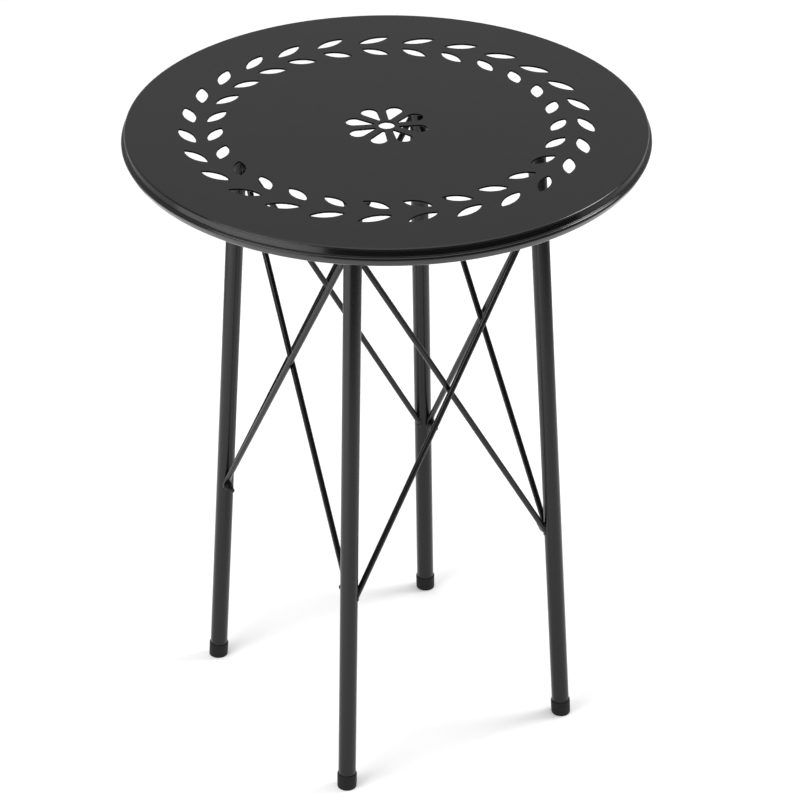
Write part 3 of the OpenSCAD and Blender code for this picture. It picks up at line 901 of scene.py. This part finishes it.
# Foot caps: moulded cups, flat where they stand
footCap = {
    "radius": 0.0106,
    "height": 0.017,
    "steps": 72,
    "below": 0.004,           # under the floor, before the sole is cut level
    "taper": 0.0002,
    "taperHeights": (0.002, 0.006),
    "lip": 0.0007,
    "lipSteps": 6,
    "innerLip": 0.6,          # share of the outer lip
    "innerLipSteps": 4,
    "play": 0.0001,           # between the tube and the cap
    "toe": 0.0012,
    "toeSteps": 4,
    "soleUpright": 0.9999,
}


def makeCaps():
    c = footCap
    bore, floorOfBore = tube["radius"] + c["play"], tube["capSole"] - c["play"]
    foot, inner = c["radius"] - c["taper"], c["lip"] * c["innerLip"]
    for leg, corner in enumerate(cornerNames):
        bm = bmesh.new()
        line = [(0, -c["below"]), (foot, -c["below"]), (foot, c["taperHeights"][0]),
                (c["radius"], c["taperHeights"][1])]
        line += arc((c["radius"] - c["lip"], c["height"] - c["lip"]), c["lip"], 0, 90,
                    c["lipSteps"])
        line += arc((bore + inner, c["height"] - inner), inner, 90, 180, c["innerLipSteps"])
        line += [(bore, floorOfBore), (0, floorOfBore)]
        lathe(bm, line, c["steps"], legFrame(leg))
        bmesh.ops.bisect_plane(bm, geom=list(bm.verts) + list(bm.edges) + list(bm.faces),
                               plane_co=(0, 0, 0), plane_no=(0, 0, -1), clear_outer=True)
        bmesh.ops.holes_fill(bm, edges=[e for e in bm.edges if e.is_boundary], sides=0)
        rims = [e for e in bm.edges if all(abs(v.co.z) < near["level"] for v in e.verts)]
        bmesh.ops.bevel(bm, geom=rims, offset=c["toe"], segments=c["toeSteps"], profile=0.5,
                        affect="EDGES", material=-1)
        node = "foot_cap_" + corner
        finishPiece(bm, pieceName(node), capRubber, [node],
                    flat=lambda f: f.normal.z < -c["soleUpright"])


makeCaps()
print("pieces made")

# Floor, lamps and camera
studio = {
    "floorColour": 0.97,
    "floorSize": 14.0,
    "back": (0.507, 0.862, 0.0),   # from the camera towards the wall behind the table
    "frontWall": 0.06,             # how bright the room is in front, behind and overhead
    "backWall": 0.465,
    "ceiling": 1.70,
    "wallSpan": (-0.7, 0.6),       # where the front wall ends and the back wall is full
    "ceilingSpan": (0.55, 0.97),   # where the ceiling begins and is full
    "clothHeight": 0.002,
    "clothSteps": 40,
    "clothRoughness": 0.9,
    # the cloths paint dark and grey reflections into the paint and are seen nowhere else
    "cloths": [                    # rings of cloth on the floor
        dict(name="frontCloth", inner=1.32, outer=2.7, start=215, sweep=109.5, shade=0.01),
        dict(name="backCloth", inner=1.0, outer=3.0, start=325, sweep=180, shade=0.42),
    ],
    "lamps": [
        dict(name="lampRight", place=(1.9, -0.38, 2.3), target=(0, 0, 0.6),
             size=(0.8, 0.8), power=30),
        dict(name="lampLeft", place=(-1.7, -0.3, 1.2), target=(-1.7, -0.3, 0),
             size=(1.2, 1.2), power=34),
    ],
    "camera": dict(sensor=36, lens=172.03, clip=(0.05, 60), place=(-1.7927, -3.0722, 2.4655),
                   forward=(0.43710, 0.74240, -0.50772)),
}


def makeFloor():
    bm = bmesh.new()
    bmesh.ops.create_grid(bm, x_segments=1, y_segments=1, size=studio["floorSize"])
    floor = linkMesh(bm, "floor")
    material = bpy.data.materials.new("paleFloor")
    material.use_nodes = True
    tree = material.node_tree
    tree.nodes.clear()
    link = tree.links.new
    out = addNode(tree, "ShaderNodeOutputMaterial", 600, 0)
    matt = addNode(tree, "ShaderNodeBsdfDiffuse", -200, 100)
    matt.inputs["Color"].default_value = (*[studio["floorColour"]] * 3, 1)
    clear = addNode(tree, "ShaderNodeBsdfTransparent", -200, -120)
    facing = addNode(tree, "ShaderNodeNewGeometry", -200, 320)
    see = addNode(tree, "ShaderNodeMixShader", 200, 60)
    link(facing.outputs["Backfacing"], see.inputs["Fac"])
    link(matt.outputs[0], see.inputs[1])
    link(clear.outputs[0], see.inputs[2])
    link(see.outputs[0], out.inputs["Surface"])
    floor.data.materials.append(material)


def makeCloth(name, inner, outer, start, sweep, shade):
    # painted reflection: seen only as a reflection in the paint, never by the camera, in shadows or
    # in diffuse light, like the flags round a dark product in a studio
    bm = bmesh.new()
    verts = [bm.verts.new((r, 0, studio["clothHeight"])) for r in (inner, outer)]
    edge = bm.edges.new(verts)
    bmesh.ops.rotate(bm, verts=verts, cent=(0, 0, 0),
                     matrix=Matrix.Rotation(math.radians(start), 3, "Z"))
    bmesh.ops.spin(bm, geom=verts + [edge], cent=(0, 0, 0), axis=(0, 0, 1),
                   angle=math.radians(sweep), steps=studio["clothSteps"])
    cloth = linkMesh(bm, name)
    cloth.visible_camera = False
    cloth.visible_shadow = False
    cloth.visible_diffuse = False
    material = bpy.data.materials.new(name)
    material.use_nodes = True
    shader = material.node_tree.nodes["Principled BSDF"]
    shader.inputs["Base Color"].default_value = (shade, shade, shade, 1)
    shader.inputs["Roughness"].default_value = studio["clothRoughness"]
    cloth.data.materials.append(material)


def makeWorld():
    # a plain room: dark behind the camera, lighter behind the table, brightest overhead
    world = bpy.data.worlds.new("studioWorld")
    scene.world = world
    world.use_nodes = True
    tree = world.node_tree
    link = tree.links.new
    background = tree.nodes["Background"]
    place = addNode(tree, "ShaderNodeTexCoord", -900, 0)
    turn = addNode(tree, "ShaderNodeVectorMath", -700, 100, operation="DOT_PRODUCT")
    turn.inputs[1].default_value = studio["back"]
    walls = addNode(tree, "ShaderNodeMapRange", -450, 100, interpolation_type="SMOOTHSTEP")
    walls.inputs["From Min"].default_value = studio["wallSpan"][0]
    walls.inputs["From Max"].default_value = studio["wallSpan"][1]
    walls.inputs["To Min"].default_value = studio["frontWall"]
    walls.inputs["To Max"].default_value = studio["backWall"]
    split = addNode(tree, "ShaderNodeSeparateXYZ", -700, -150)
    height = addNode(tree, "ShaderNodeMapRange", -450, -200, interpolation_type="SMOOTHSTEP")
    height.inputs["From Min"].default_value = studio["ceilingSpan"][0]
    height.inputs["From Max"].default_value = studio["ceilingSpan"][1]
    mix = addNode(tree, "ShaderNodeMix", -200, 0, data_type="FLOAT")
    mix.inputs["B"].default_value = studio["ceiling"]
    link(place.outputs["Generated"], turn.inputs[0])
    link(place.outputs["Generated"], split.inputs[0])
    link(turn.outputs["Value"], walls.inputs["Value"])
    link(split.outputs["Z"], height.inputs["Value"])
    link(height.outputs["Result"], mix.inputs["Factor"])
    link(walls.outputs["Result"], mix.inputs["A"])
    link(mix.outputs["Result"], background.inputs["Strength"])
    background.inputs["Color"].default_value = (1, 1, 1, 1)


def softLamp(name, place, target, size, power):
    lamp = bpy.data.lights.new(name, "AREA")
    lamp.shape = "RECTANGLE"
    lamp.size, lamp.size_y = size
    lamp.energy = power
    obj = bpy.data.objects.new(name, lamp)
    scene.collection.objects.link(obj)
    obj.matrix_world = aimZ(place, Vector(place) - Vector(target))


def makeCamera():
    # fitted to the rim and the four feet of the photograph
    view = studio["camera"]
    lens = bpy.data.cameras.new("camera")
    lens.sensor_width = view["sensor"]
    lens.lens = view["lens"]
    lens.clip_start, lens.clip_end = view["clip"]
    camera = bpy.data.objects.new("camera", lens)
    scene.collection.objects.link(camera)
    camera.matrix_world = (Matrix.Translation(view["place"])
                           @ Vector(view["forward"]).to_track_quat("-Z", "Y").to_matrix().to_4x4())
    scene.camera = camera


makeFloor()
for cloth in studio["cloths"]:
    makeCloth(**cloth)
makeWorld()
for lamp in studio["lamps"]:
    softLamp(**lamp)
makeCamera()
scene.view_settings.view_transform = "Standard"
print("stage set")
